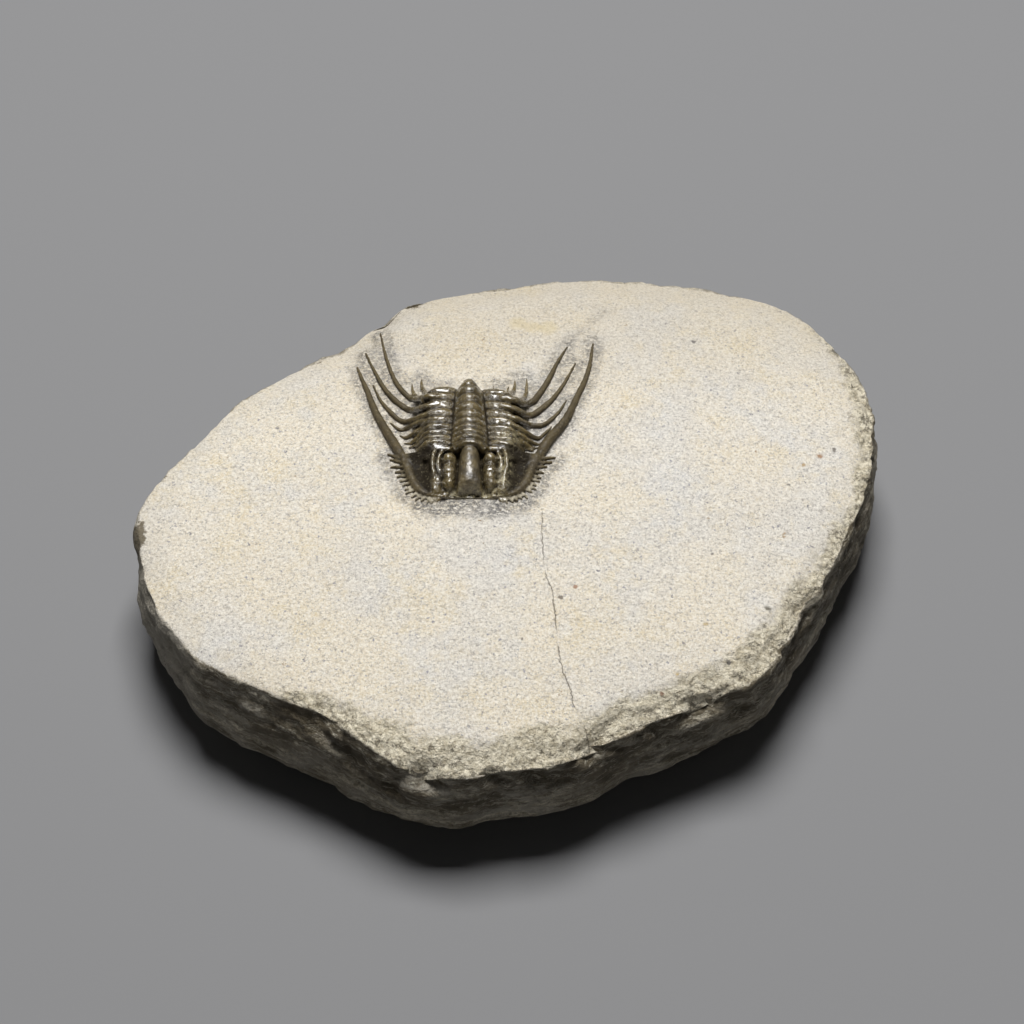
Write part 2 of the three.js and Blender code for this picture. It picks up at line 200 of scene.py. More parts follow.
def loft_faces(rows, count):
    """Faces of a closed surface whose rows of count points each run once round it.

    The two points that follow the rows close its ends.
    """
    faces = []
    for row in range(rows - 1):
        for i in range(count):
            a = row * count + i
            b = row * count + (i + 1) % count
            faces.append((a, b, b + count, a + count))
    first_hub = rows * count
    last_row = first_hub - count
    for i in range(count):
        onward = (i + 1) % count
        faces.append((first_hub, onward, i))
        faces.append((first_hub + 1, last_row + i, last_row + onward))
    return faces


def loft(name, grid):
    """A closed piece from an array of rows, each of which runs once round the form."""
    rows, count = grid.shape[:2]
    hubs = [grid[0].mean(axis=0), grid[-1].mean(axis=0)]
    points = np.vstack([grid.reshape(-1, 3), *hubs])
    return make_mesh(name, points, loft_faces(rows, count))


class Outline:
    """How far the block's rim is from a middle point, in each direction."""

    def __init__(self, middle):
        self.middle = np.array(middle, float)
        away = closed_curve(RIM, 24) - self.middle
        angle = np.arctan2(away[:, 1], away[:, 0])
        order = np.argsort(angle)
        self.angle = angle[order]
        self.reach = np.hypot(away[:, 0], away[:, 1])[order]

    def distance(self, angle):
        return np.interp(angle, self.angle, self.reach, period=2 * math.pi)


FROM_ORIGIN = Outline((0, 0))
FROM_FOSSIL = Outline((FOSSIL_ORIGIN[0], FOSSIL_ORIGIN[1] + 11))

# How far in from the rim the block is chipped, as a share of the way to its middle, round the block.
CHIPPED_ANGLE = [-180, -138, -122, -105, -70, -48, -30, 0, 30, 60, 180]
CHIPPED_SHARE = [0, 0, 0.06, 0.1, 0.105, 0.1, 0.075, 0.045, 0.025, 0, 0]


def chipped_width(angle):
    return np.interp(np.degrees(angle), CHIPPED_ANGLE, CHIPPED_SHARE)


def rim_share(x, y):
    """0 at the block's middle and 1 on its rim."""
    return np.hypot(x, y) / FROM_ORIGIN.distance(np.arctan2(y, x))


def bed_share(x, y):
    """1 in the prepared hollow round the trilobite and 0 outside it."""
    u = x - FOSSIL_ORIGIN[0]
    v = y - FOSSIL_ORIGIN[1]
    half_width = np.interp(v, [-3, 4, 12, 22, 31], [11.5, 14.5, 17, 19.5, 20])
    across = 1 - smooth(half_width - 1.6, half_width + 1.6, np.abs(u - 0.4))
    return across * smooth(-3.6, -1.6, v) * (1 - smooth(27, 33, v))


def top_height(x, y):
    """Height of the dressed face and of the chipped bevel round it."""
    share = np.clip(rim_share(x, y), 0, 1)
    angle = np.arctan2(y, x)
    back = smooth(0.45, 0.95, np.sin(angle))
    chipped = chipped_width(angle)
    return (
        TOP_HEIGHT - DOME_DROP * share**3
        - REAR_ROLL * back * smooth(0.84, 1, share)
        - CHIP_DROP * smooth(0, 0.1, chipped) * np.clip((share - 0.98 + chipped) / 0.1, 0, 1) ** 1.4
        - BED_DEPTH * bed_share(x, y)
    )


def block_grid():
    """The block's smooth form: rows spread from the trilobite over the top, down the side and under."""
    angle = np.linspace(0, 2 * math.pi, BLOCK_SECTORS, endpoint=False)
    middle = FROM_FOSSIL.middle
    reach = FROM_FOSSIL.distance(angle)
    rows = []

    def top_row(radius):
        x = middle[0] + radius * np.cos(angle)
        y = middle[1] + radius * np.sin(angle)
        rows.append(np.stack([x, y, top_height(x, y)], axis=1))

    for radius in np.linspace(0.2, FINE_RADIUS, 78):
        top_row(np.full(BLOCK_SECTORS, radius))
    for share in 1 - (1 - np.linspace(0, 1, 68)[1:]) ** 1.5:
        top_row(FINE_RADIUS + (reach - FINE_RADIUS) * share)
    rim = rows[-1]
    toward = np.arctan2(rim[:, 1], rim[:, 0])
    round_x, round_y = np.cos(toward), np.sin(toward)
    for down in np.linspace(0, 1, 32)[1:]:
        push = np.interp(down, [0, 0.22, 0.5, 0.78, 1], [0, 0.35, 0.6, 0.6, 0.3])
        z = rim[:, 2] + (BELLY_HEIGHT - rim[:, 2]) * down
        rows.append(np.stack([rim[:, 0] + push * round_x, rim[:, 1] + push * round_y, z], axis=1))
    belly = rows[-1]
    for inward in np.linspace(0, 1, 22)[1:]:
        z = np.interp(inward, [0, 0.3, 0.68, 1], [BELLY_HEIGHT, 3.6, 1.2, 0])
        x = belly[:, 0] + (BASE_HALF_WIDTH * round_x - belly[:, 0]) * inward
        y = belly[:, 1] + (BASE_HALF_DEPTH * round_y - belly[:, 1]) * inward
        rows.append(np.stack([x, y, np.full(BLOCK_SECTORS, z)], axis=1))
    base = rows[-1]
    for inward in (0.25, 0.6):
        rows.append(base * (1 - inward))
    return np.array(rows), len(rows) - 3


def grid_normals(grid):
    """Outward normals of a grid whose rows go outwards and down, and whose points go anticlockwise."""
    down = np.gradient(grid, axis=0)
    onward = np.roll(grid, -1, axis=1) - np.roll(grid, 1, axis=1)
    normal = np.cross(down, onward)
    return normal / np.maximum(np.linalg.norm(normal, axis=2, keepdims=True), 1e-9)


def face_relief(points):
    """The dressed face's faint waves and grain."""
    waves = 0.16 * lumps(points, 11, 1) + 0.07 * rough(points, 3.5, 3, 5)
    return waves + 0.025 * rough(points, 0.9, 2, 9)


def broken_relief(points):
    """Steps and crumbs of chipped rock."""
    steps = 2 * rough(points, 3.4, 4, 21)
    steps = np.floor(steps) + smooth(0, 0.45, steps - np.floor(steps))
    return 0.16 * steps + 0.45 * rough(points, 1.7, 4, 25, gain=0.6)


def side_relief(points):
    """The side's lumps and its level ledges. Each ledge juts out at its foot and slopes back above it."""
    ledge = (points[:, 2] + 1.3 * lumps(points, 13, 31)) / LEDGE_HEIGHT
    ledge = ledge - np.floor(ledge)
    ledges = smooth(0, 0.3, ledge) - ledge
    return 0.5 * rough(points, 6, 4, 41) + 0.3 * ledges + 0.16 * rough(points, 1.4, 3, 45)


def rim_losses(points, share, chipped, rim):
    """Depth of the small bites all round the rim, and of the scallops where it is chipped."""
    bites = np.clip(rough(points, 3.4, 4, 51), 0, 1)
    weaker = 0.4 * smooth(0, 25, points[:, 1])
    scallops = np.clip(rough(points * [1, 1, 0.4], 7, 4, 55) + 0.05, 0, 1)
    falling = np.clip((share - 1) / 0.11 + 1, 0, 1) ** 2.2
    scalloped = 20 * chipped * scallops * falling * smooth(13, 16, points[:, 2])
    return rim * bites * (0.55 - weaker + 8 * chipped) + scalloped


def limestone_block(footprint):
    """The block. Footprint is what footprint_tree gives, for the prepared ground round the trilobite."""
    grid, last_rough_row = block_grid()
    for _ in range(5):
        inner = grid[1:last_rough_row]
        inner += 0.5 * ((grid[: last_rough_row - 1] + grid[2 : last_rough_row + 1]) / 2 - inner)
    points = grid.reshape(-1, 3)
    normal = grid_normals(grid).reshape(-1, 3)
    share = rim_share(points[:, 0], points[:, 1])
    chipped = chipped_width(np.arctan2(points[:, 1], points[:, 0]))
    side = smooth(0.86, 0.35, normal[:, 2])
    inner_edge = 1 - chipped + 0.035 * rough(points, 5, 3, 3)
    broken = smooth(0, 0.03, chipped) * smooth(inner_edge - 0.045, inner_edge + 0.045, share) * (1 - side)
    rim = bump(share, 1, 0.03) * smooth(8, 14, points[:, 2])
    bare = smooth(-38, -47, points[:, 0])

    relief = (1 - side) * (1 - broken) * face_relief(points)
    relief += broken * broken_relief(points)
    relief += side * side_relief(points)
    relief -= rim_losses(points, share, chipped, rim)
    for centre, radius, height in BELLY_BULGES + RIM_BOSSES:
        relief += height * boss_at(points, centre, radius)
    crusted = sum(boss_at(points, centre, radius) for centre, radius, _ in RIM_BOSSES)
    lift, halo = ground_near(points, footprint)
    relief += lift - 0.1 * halo * np.abs(lumps(points, 0.6, 61))
    points += normal * (relief * smooth(0, 2.5, points[:, 2]))[:, None]

    hubs = np.array([[*FROM_FOSSIL.middle, grid[0, :, 2].mean()], [0, 0, 0]])
    block = make_mesh("limestone", np.vstack([points, hubs]), loft_faces(*grid.shape[:2]))
    layers = {
        "side": spread_over_rim(side, grid.shape),
        "broken": broken,
        "rim": rim,
        "edge": smooth(0.87, 1, share),
        # back: towards the back rim, where the crust thins and the dressed face is painted darker and
        # browner, partly as shade.
        "back": smooth(10, 44, points[:, 1]),
        "halo": halo,
        "coated": crusted * smooth(0.965, 0.995, share),
        "bare": bare,
        "crack": crack_offset(points),
    }
    paint(block.data, {name: [*values, values[0], values[-1]] for name, values in layers.items()})
    # The rows run outwards and down, so the faces come out facing inwards.
    block.data.flip_normals()
    return block


def spread_over_rim(side, shape):
    """Softens the step from the dressed face to the side, so that the material can break it up."""
    rows = side.reshape(shape[:2]).copy()
    for _ in range(3):
        rows[1:-1] = (rows[:-2] + 2 * rows[1:-1] + rows[2:]) / 4
    return rows.ravel()


def boss_at(points, centre, radius):
    """1 at the centre of a rounded boss, falling to 0 away from it."""
    return np.exp(-((np.linalg.norm(points - centre, axis=1) / radius) ** 2))


def crack_offset(points):
    """Distance to the crack, signed by side, and large where there is none."""
    x, y, z = points.T
    path_x, path_y = np.array(CRACK)[::-1].T
    there = (y > path_y[0]) & (y < path_y[-1]) & (z > 14)
    return np.where(there, np.clip(x - np.interp(y, path_y, path_x), -3, 3), 3)


def ground_near(points, footprint):
    """How high the rock rises to the trilobite's spines, and how much the preparation tool marked it."""
    tree, levels = footprint
    u = points[:, 0] - FOSSIL_ORIGIN[0]
    v = points[:, 1] - FOSSIL_ORIGIN[1]
    on_top = points[:, 2] > 15
    lift = np.zeros(len(points))
    near = np.zeros(len(points))
    for i in np.nonzero((np.abs(u) < 24) & (np.abs(v - 14) < 24) & on_top)[0]:
        _, nearest, distance = tree.find(Vector((points[i, 0], points[i, 1], 0)))
        rise = FOSSIL_ORIGIN[2] + levels[nearest] - points[i, 2]
        lift[i] = min(max(rise, 0), 0.8) * smooth(1.3, 0.3, distance)
        near[i] = bump(distance, 0.7, 0.95)
    # A low bank of rock lies against the head's front, and a scratched hollow before it.
    lift += 0.4 * smooth(5.6, 4.2, np.abs(u)) * smooth(0.4, -0.2, v) * smooth(-2.6, -1.2, v)
    hollow = bump(v, -2.5, 1.3) * smooth(9.5, 5, np.abs(u - 0.5))
    # A scratched streak runs on from the tip of the right cheek spine.
    streak = np.zeros(len(points))
    for x, y in zip(np.linspace(15, 19.5, 7), np.linspace(31, 36.5, 7)):
        streak = np.maximum(streak, 0.3 * np.exp(-((u - x) ** 2 + (v - y) ** 2) / 1.1**2))
    return lift, np.clip(0.65 * near + 1.3 * hollow + streak * on_top, 0, 1)


# Half the head's width at each distance back from its front edge.
HEAD_OUTLINE = np.array([
    (-0.8, 4.3), (-0.72, 5.1), (-0.5, 5.95), (-0.1, 6.8), (0.5, 7.5), (1.3, 8.05), (2.4, 8.6),
    (3.8, 9.1), (5.4, 9.5), (7, 9.8),
])
# Crests of the head's ridges, as points (out, back, up). The first two run past the eye to the front.
CHEEK_RIDGE = [
    (4.7, 6.8, 2.75), (5.05, 5.6, 2.85), (5.2, 4.3, 2.75), (5.05, 3, 2.45), (4.65, 1.8, 2.1),
    (4.1, 0.7, 1.6), (3.3, -0.4, 0.95),
]
EYE_RIDGE = [(3.9, 6.4, 2.5), (4.25, 5.3, 2.6), (4.35, 4.2, 2.35), (4.1, 3.1, 2.1), (3.75, 2.2, 1.9)]
NECK_RIDGE = [(1.8, 6.75, 2.75), (4.6, 6.85, 2.65), (6.6, 6.7, 2), (8.8, 6.4, 1.35)]
FRONT_RIDGE = [(0, -0.5, 0.38), (2.4, -0.5, 0.4), (4.2, -0.5, 0.7)]
# Each ridge and half its width.
RIDGES = [(CHEEK_RIDGE, 0.3), (EYE_RIDGE, 0.26), (NECK_RIDGE, 0.45), (FRONT_RIDGE, 0.22)]
# The glabella's side lobes and other bosses of the head: centre, radii, height.
BOSSES = [
    ((2.85, 4.95), (1.15, 1.3), 3.3),
    ((2.95, 2.95), (1.15, 1.3), 2.9),
    ((3.1, 1.3), (0.9, 1.0), 2.1),
    ((2.85, 3.3), (1.05, 3.3), 2.75),
    ((2.4, 6.45), (0.38, 0.34), 3.3),
    ((6.0, 5.5), (0.6, 0.6), 2.3),
]
BOSS_FOOT = 0.9


def head_edge(y):
    """Half the head's width at a distance back from its front edge."""
    return np.interp(y, HEAD_OUTLINE[:, 0], HEAD_OUTLINE[:, 1])


def dome(x, y, centre, radii, height):
    """Height of a rounded boss."""
    inside = 1 - ((x - centre[0]) / radii[0]) ** 2 - ((y - centre[1]) / radii[1]) ** 2
    rise = (height - BOSS_FOOT) * np.sqrt(np.maximum(inside, 0))
    return np.where(inside > 0, BOSS_FOOT + rise, NOWHERE)


def ridge(x, y, path, half_width):
    """Height of a rounded ridge along a path of (x, y, crest height)."""
    best = np.full(x.shape, NOWHERE)
    for cx, cy, crest in open_curve(path, 0.1):
        inside = np.maximum(1 - ((x - cx) ** 2 + (y - cy) ** 2) / half_width**2, 0)
        height = crest - half_width * (1 - np.sqrt(inside))
        best = np.maximum(best, np.where(inside > 0, height, NOWHERE))
    return best


def glabella(out, y):
    """Height of the head's middle lobe, which stands steep at its front and runs back to the neck ring."""
    half_width = np.interp(y, [-0.8, 0.2, 1.5, 3, 4.5, 6.4], [1.75, 1.85, 1.75, 1.6, 1.52, 1.45])
    crest = np.interp(
        y, [-0.75, -0.62, -0.4, 0, 0.6, 1.4, 2.4, 3.4, 4.4, 5.2, 6.1, 6.5],
        [0.5, 1.3, 1.95, 2.5, 2.95, 3.28, 3.52, 3.68, 3.76, 3.78, 3.72, 3.5])
    across = np.maximum(1 - (out / half_width) ** 2.4, 0)
    return np.where((across > 0) & (y > -0.76), 0.6 + (crest - 0.6) * across**0.5, NOWHERE)


def neck_ring(out, y):
    """Height of the ring between the glabella and the thorax."""
    inside = np.maximum(1 - ((y - 6.85) / 0.6) ** 2, 0)
    across = np.maximum(1 - (out / NECK_HALF_WIDTH) ** 2.3, 0)
    return np.where((inside > 0) & (across > 0), 1.6 + 2.5 * across**0.8 * np.sqrt(inside), NOWHERE)


def head_height(x, y):
    """Height of the head shield above the bed."""
    out = np.abs(x)
    front = np.clip((y + 0.8) / 2.2, 0, 1)
    cheek = np.interp(
        out, [0, 1.7, 3.4, 4.2, 4.8, 5.6, 6.6, 7.6, 8.4, 9.8],
        [0.9, 0.95, 1.1, 1.9, 2.1, 1.5, 1.0, 0.85, 0.9, 0.85])
    behind = np.interp(out, [4.6, 6.6, 8.8], [2.5, 1.9, 1.25])
    cheek += np.maximum(behind - cheek, 0) * smooth(4.2, 4.8, out) * smooth(4.4, 6.7, y)
    margin = np.interp(out, [2.5, 4.5], [0.2, 0.4])
    z = margin + (cheek - margin) * np.sqrt(1 - (1 - front) ** 2)
    for centre, radii, height in BOSSES:
        z = np.maximum(z, dome(out, y, centre, radii, height))
    for path, half_width in RIDGES:
        z = np.maximum(z, ridge(out, y, path, half_width))
    z = np.maximum(z, glabella(out, y))
    z = np.maximum(z, neck_ring(out, y))
    edge = head_edge(y) - out
    roll = np.maximum(1 - ((edge - 0.75) / 0.85) ** 2, 0)
    z = np.maximum(z, np.where(roll > 0, 0.35 + 0.82 * np.sqrt(roll), NOWHERE))
    lip = margin - 0.15
    return np.where(edge < 0.12, lip + (z - lip) * smooth(0, 0.12, edge), z)


def head():
    """The head shield, in rows from its front edge back to the first thorax ring."""
    rows = []
    across = np.sin(np.linspace(-1, 1, 200) * 1.45) / math.sin(1.45)
    for y in np.concatenate([np.linspace(-0.8, 0.5, 26), np.linspace(0.5, 7, 78)[1:]]):
        x = head_edge(y) * across
        z = head_height(x, np.full_like(x, y))
        hollow = 0.55 * bump(x, 0, 3) * (1 - smooth(-0.8, 1, y))
        top = np.stack([x, y + hollow, z], axis=1)
        under = [(x[-1], y, BURIED), (x[0], y, BURIED)]
        rows.append(np.vstack([top, under]))
    return loft("head", np.array(rows))


RING_CRESTS = [7.9, 8.8, 9.6, 10.65, 12, 13.2, 14.9, 16.3, 17.8, 19.3]
NECK_HALF_WIDTH = 2.6
# Height of the ribbed field beside the middle lobe, from the lobe's edge (0) out to the thorax's edge (1).
PLEURA_SECTION = np.array([
    (0, 2.55), (0.04, 2.6), (0.12, 2.85), (0.25, 3.02), (0.5, 3.08), (0.66, 2.9), (0.76, 2.5),
    (0.86, 1.85), (0.94, 1.2), (1, 0.6),
])


def ring_phase(s):
    """A whole number on each ring's crest, counted along the body."""
    return np.interp(s, [6.9, *RING_CRESTS, 21.2, 22.8], [-1, *range(len(RING_CRESTS)), 10.6, 11.6])


def middle_half_width(s):
    """Half the width of the thorax's middle lobe, which narrows towards the tail."""
    return np.interp(s, [7, 12, 17, 21], [NECK_HALF_WIDTH, 2.35, 2.0, 1.5])


def thorax_point(s, x, height):
    """Places a point of the section at distance s along the body, which curls down at its rear."""
    curl_start = CURL_START - 0.13 * np.clip(x, 0, 6)
    bend = np.clip((s - curl_start) / CURL_REACH, 0, None)
    narrow = np.interp(s, [7, CURL_START, 20, TAIL_END], [1, 0.95, 0.85, 0.5])
    tall = np.interp(
        s, [6.7, 7.2, 8, 12, CURL_START, 19.3, TAIL_END], [0.82, 0.97, 1, 1.07, 1.12, 0.98, 0.7])
    reach = np.maximum(0.1, height * tall - HINGE_HEIGHT)
    y = np.minimum(s, curl_start)
    skew = -0.016 * (y - 7)
    return np.stack([
        x * narrow + skew, y + reach * np.sin(bend), HINGE_HEIGHT + reach * np.cos(bend)], axis=1)


def ribs(s, x):
    """Depth of the furrows between and along the ribs, which slant slightly forwards on the right."""
    out = np.abs(x)
    wander = 0.19 * lumps(np.stack([x, np.full_like(x, s), np.zeros_like(x)], axis=1), 1.4, 81)
    phase = ring_phase(s + wander + 0.15 * np.clip(x - 2.6, 0, None)) + 0.06
    part = phase - np.round(phase)
    between = 1 - np.abs(np.cos(math.pi * phase)) ** 0.5
    along = bump(part, -0.2, 0.07) * np.interp(s, [9, 11], [0, 0.45])
    depth = np.interp(out, [2.4, 3, 5, 7.2], [0.3, 0.4, 0.5, 0.9])
    return -depth * np.maximum(between, along)


def thorax():
    """The ten segments and the tail: rings along the middle lobe and a ribbed field on each side."""
    x = np.linspace(-THORAX_HALF_WIDTH, THORAX_HALF_WIDTH, 171)
    out = np.abs(x)
    rows = []
    for s in np.linspace(THORAX_START - 0.3, TAIL_END, 260):
        half = middle_half_width(s)
        lobe = 2.55 + 1.75 * np.maximum(1 - (out / half) ** 1.9, 0) ** 0.85
        lobe -= 0.5 * (1 - abs(math.cos(math.pi * ring_phase(s))) ** 0.4) * smooth(half, 0.7 * half, out)
        across = (out - half) / (THORAX_HALF_WIDTH - half)
        field = np.interp(across, PLEURA_SECTION[:, 0], PLEURA_SECTION[:, 1])
        field += ribs(s, x) * smooth(0, 0.1, across)
        top = thorax_point(np.full_like(x, s), x, np.where(out < half, lobe, field))
        y = min(s, CURL_START)
        under = [(top[-1, 0], y, BURIED), (top[0, 0], y, BURIED)]
        rows.append(np.vstack([top, under]))
    return loft("thorax", np.array(rows))


def tube(name, path):
    """A closed tapering tube along a smooth path of (x, y, z, radius)."""
    curve = open_curve(path, TUBE_SPACING)
    centre, radius = curve[:, :3], curve[:, 3]
    along = np.gradient(centre, axis=0)
    along /= np.linalg.norm(along, axis=1, keepdims=True)
    side = np.cross(along, [0, 0, 1.0])
    side /= np.maximum(np.linalg.norm(side, axis=1, keepdims=True), 1e-6)
    above = np.cross(side, along)
    turn = np.linspace(0, 2 * math.pi, TUBE_SIDES, endpoint=False)[None, :, None]
    ring = side[:, None, :] * np.cos(turn) + above[:, None, :] * np.sin(turn)
    grid = centre[:, None, :] + ring * radius[:, None, None]
    tip = centre[-1] + ring[-1] * radius[-1] * 0.5 + along[-1] * radius[-1] * 0.8
    return loft(name, np.concatenate([grid, tip[None]]))


def spine_path(points, root, middle, tip):
    """Adds radii to a spine's points: about constant to its root, then tapering to its tip."""
    share = np.linspace(0, 1, len(points))
    radii = np.interp(share, [0, 0.25, 0.6, 1], [root, root, middle, tip])
    return [(*p, r) for p, r in zip(points, radii)]


# The cheek spines, as points (x, y, z, radius).
CHEEK_SPINES = [
    [(-8.55, 2.6, 0.35, 0.3), (-9, 4.6, 0.5, 0.5), (-9.5, 6.5, 0.75, 0.72), (-10.6, 8.9, 0.85, 0.74),
     (-13.2, 14.4, 0.8, 0.56), (-14.8, 19.2, 0.65, 0.42), (-16.5, 24.3, 0.3, 0.2)],
    [(8.55, 2.6, 0.35, 0.3), (9.1, 4.6, 0.5, 0.5), (9.7, 6.8, 0.75, 0.72), (11.1, 9.8, 0.85, 0.76),
     (13.4, 13.4, 0.9, 0.64), (15, 17.5, 0.85, 0.5), (16.8, 22.9, 0.65, 0.36), (17.7, 29, 0.3, 0.18)],
]
# The spines of the ribs: radius at the root, in the middle and at the tip, then the points (x, y, z).
LONG_SPINES = [
    (0.44, 0.38, 0.16, [
        (-4.2, 16, 3.0), (-6.2, 16.2, 2.85), (-8.1, 17.2, 1.3), (-9.5, 18.8, 0.9), (-10.9, 21.3, 0.8),
        (-12.3, 25.8, 0.65), (-13.4, 31.2, 0.3)]),
    (0.54, 0.46, 0.14, [
        (4.2, 15.8, 3.0), (6.3, 15.6, 2.75), (7.8, 16, 1.6), (9.3, 17.5, 1.05), (11.2, 21.6, 0.8),
        (12.5, 25.1, 0.65), (13.9, 28.3, 0.3)]),
    (0.46, 0.42, 0.16, [
        (-4.2, 14.7, 2.9), (-6.3, 14.5, 2.65), (-8.4, 15.2, 1.2), (-10.2, 16.7, 0.9), (-12.2, 19.4, 0.8),
        (-13.8, 22.9, 0.65), (-15.4, 27.2, 0.3)]),
    (0.5, 0.44, 0.14, [
        (4.2, 14.4, 2.95), (6.4, 14, 2.6), (7.9, 13.9, 1.6), (9.1, 14.6, 1.1), (10.5, 16.1, 0.9),
        (11.9, 18, 0.8), (13.4, 20.9, 0.65), (15.1, 25.2, 0.3)]),
    (0.42, 0.36, 0.12, [
        (-4.2, 13.1, 2.85), (-6.5, 13.1, 2.3), (-9.3, 13.2, 0.9), (-11.2, 14.9, 0.8), (-12.9, 17.7, 0.6),
        (-14.1, 21, 0.25)]),
    (0.44, 0.36, 0.12, [
        (4.2, 12.8, 2.9), (6.6, 12.4, 2.35), (8.1, 12.3, 1.45), (9.8, 12.4, 1), (11.2, 13.4, 0.85),
        (12.7, 15.6, 0.6), (13.7, 18, 0.25)]),
]
# The short spines of the front ribs, then those of the tail.
SHORT_SPINES = [
    (0.4, 0.32, 0.13, [
        (-4.2, 11.9, 2.8), (-6.8, 12.1, 2.1), (-9, 12, 0.9), (-10, 11.9, 0.75), (-11.4, 13.6, 0.3)]),
    (0.4, 0.32, 0.12, [
        (4.2, 11.6, 2.85), (6.8, 10.9, 2.2), (9.3, 10.1, 0.9), (10.5, 11.1, 0.75), (11.5, 12.8, 0.3)]),
    (0.38, 0.3, 0.12, [(-4.2, 10.6, 2.75), (-6.9, 10.8, 1.95), (-9, 10.3, 0.8), (-10, 11.1, 0.35)]),
    (0.38, 0.3, 0.12, [(4.2, 10.4, 2.8), (6.9, 9.8, 2.05), (9.2, 9.1, 0.8), (10.5, 9.9, 0.35)]),
    (0.36, 0.28, 0.12, [(-4.2, 9.6, 2.7), (-6.8, 9.8, 1.85), (-8.3, 9.3, 0.8), (-9.3, 9.6, 0.35)]),
    (0.36, 0.28, 0.12, [(4.2, 9.4, 2.7), (6.9, 8.8, 1.9), (8.7, 8.4, 0.8), (9.6, 8.8, 0.35)]),
    (0.34, 0.26, 0.12, [(-4.2, 8.7, 2.6), (-6.9, 8.5, 1.65), (-8.6, 8.7, 0.45)]),
    (0.34, 0.26, 0.12, [(4.2, 8.6, 2.6), (7, 8, 1.65), (8.9, 8.1, 0.45)]),
    (0.38, 0.3, 0.1, [
        (-6.6, 15.9, 2.45), (-7.4, 17.2, 1.5), (-8.1, 18.4, 1), (-8.4, 19.8, 0.7), (-8.5, 21.2, 0.35)]),
    (0.4, 0.34, 0.1, [
        (6.6, 15.7, 2.45), (7.5, 17, 1.6), (7.9, 18.4, 1.1), (8, 20.2, 0.75), (8, 22.1, 0.35)]),
    (0.42, 0.34, 0.1, [
        (-5.5, 16.7, 2.45), (-6.4, 18.2, 1.5), (-6.9, 19.4, 1.1), (-7.1, 20.6, 0.7), (-7.1, 22.1, 0.35)]),
    (0.4, 0.32, 0.1, [
        (5.1, 16.7, 2.45), (5.8, 18.2, 1.5), (6.2, 19.3, 1.1), (6.3, 20.5, 0.7), (6.3, 21.9, 0.35)]),
    (0.3, 0.2, 0.1, [(-4.4, 17, 2.45), (-4.9, 18.6, 0.8), (-5.2, 19.7, 0.5), (-5.3, 20.6, 0.2)]),
    (0.3, 0.2, 0.1, [(4.3, 17, 2.45), (5, 18.4, 0.8), (5.3, 19.7, 0.5), (5.4, 20.6, 0.25)]),
    (0.26, 0.18, 0.1, [(-2.6, 17.1, 2.45), (-2.9, 18.8, 0.6), (-3.1, 19.7, 0.3), (-3.2, 20.5, 0.1)]),
    (0.26, 0.18, 0.1, [(2.6, 17.1, 2.45), (3, 18.8, 0.6), (3.2, 19.8, 0.4), (3.2, 20.7, 0.25)]),
]
MARGINAL_SPINES = 15


def marginal_paths():
    """The comb of short spines along both sides of the head's border."""
    stops = [0, 0.2, 0.36, 0.5, 0.75, 1]
    chance = np.random.default_rng(5)
    paths = []
    for hand in (-1, 1):
        for share in np.linspace(0, 1, MARGINAL_SPINES):
            x = np.interp(share, stops, [4.1, 5.8, 7.1, 7.9, 8.7, 9.6])
            y = np.interp(share, stops, [-0.7, -0.4, 0.4, 1.4, 3.7, 6.4])
            turn = math.radians(np.interp(share, [0, 0.36, 0.5, 0.75, 1], [62, 34, 18, 0, -26]))
            turn += 0.09 * chance.normal()
            length = np.interp(share, [0, 0.36, 0.75, 1], [0.9, 1.2, 1.5, 2.3])
            length *= 1 + 0.08 * chance.normal()
            section = [(-0.4, 0.6, 0.25), (0.5 * length, 0.55, 0.25), (length, 0.35, 0.18)]
            paths.append([
                (hand * (x + reach * math.cos(turn)), y - reach * math.sin(turn), z, radius)
                for reach, z, radius in section
            ])
    return paths


def laid_on_rock(path):
    """Lowers the low stretches of a spine onto the rock, along the photograph's line of sight."""
    laid = []
    for x, y, z, radius in path:
        rock = top_height(x + FOSSIL_ORIGIN[0], y + FOSSIL_ORIGIN[1]) - FOSSIL_ORIGIN[2]
        drop = max(0, z - rock - 0.75 * radius) * smooth(2.4, 1.1, z)
        laid.append((x, y + drop / math.tan(VIEW_ELEVATION), z - drop, radius))
    return laid


def all_spines():
    ribbed = [spine_path(points, *radii) for *radii, points in LONG_SPINES + SHORT_SPINES]
    return [laid_on_rock(path) for path in CHEEK_SPINES + ribbed] + marginal_paths()


def footprint_tree(paths):
    """A search tree of points under the trilobite, seen from above, and how high the rock rises at each."""
    spots = []
    levels = []
    for path in paths:
        curve = open_curve(path, TUBE_SPACING)
        spots.append(curve[:, :2])
        levels.append(np.minimum(curve[:, 2] - np.maximum(0.4 * curve[:, 3], 0.22), 0.6))
    for y in np.arange(-1, 17.5, 0.4):
        edge = head_edge(y) if y < 7 else THORAX_HALF_WIDTH
        x = np.linspace(-edge, edge, 40)
        spots.append(np.stack([x, np.full_like(x, y)], axis=1))
        levels.append(np.full(40, -1.0))
    spots = np.vstack(spots) + FOSSIL_ORIGIN[:2]
    tree = KDTree(len(spots))
    for i, (x, y) in enumerate(spots):
        tree.insert((x, y, 0), i)
    tree.balance()
    return tree, np.concatenate(levels)


def join(pieces, name):
    bpy.ops.object.select_all(action="DESELECT")
    for piece in pieces:
        piece.select_set(True)
    bpy.context.view_layer.objects.active = pieces[0]
    bpy.ops.object.join()
    joined = bpy.context.view_layer.objects.active
    joined.name = name
    joined.data.name = name
    return joined


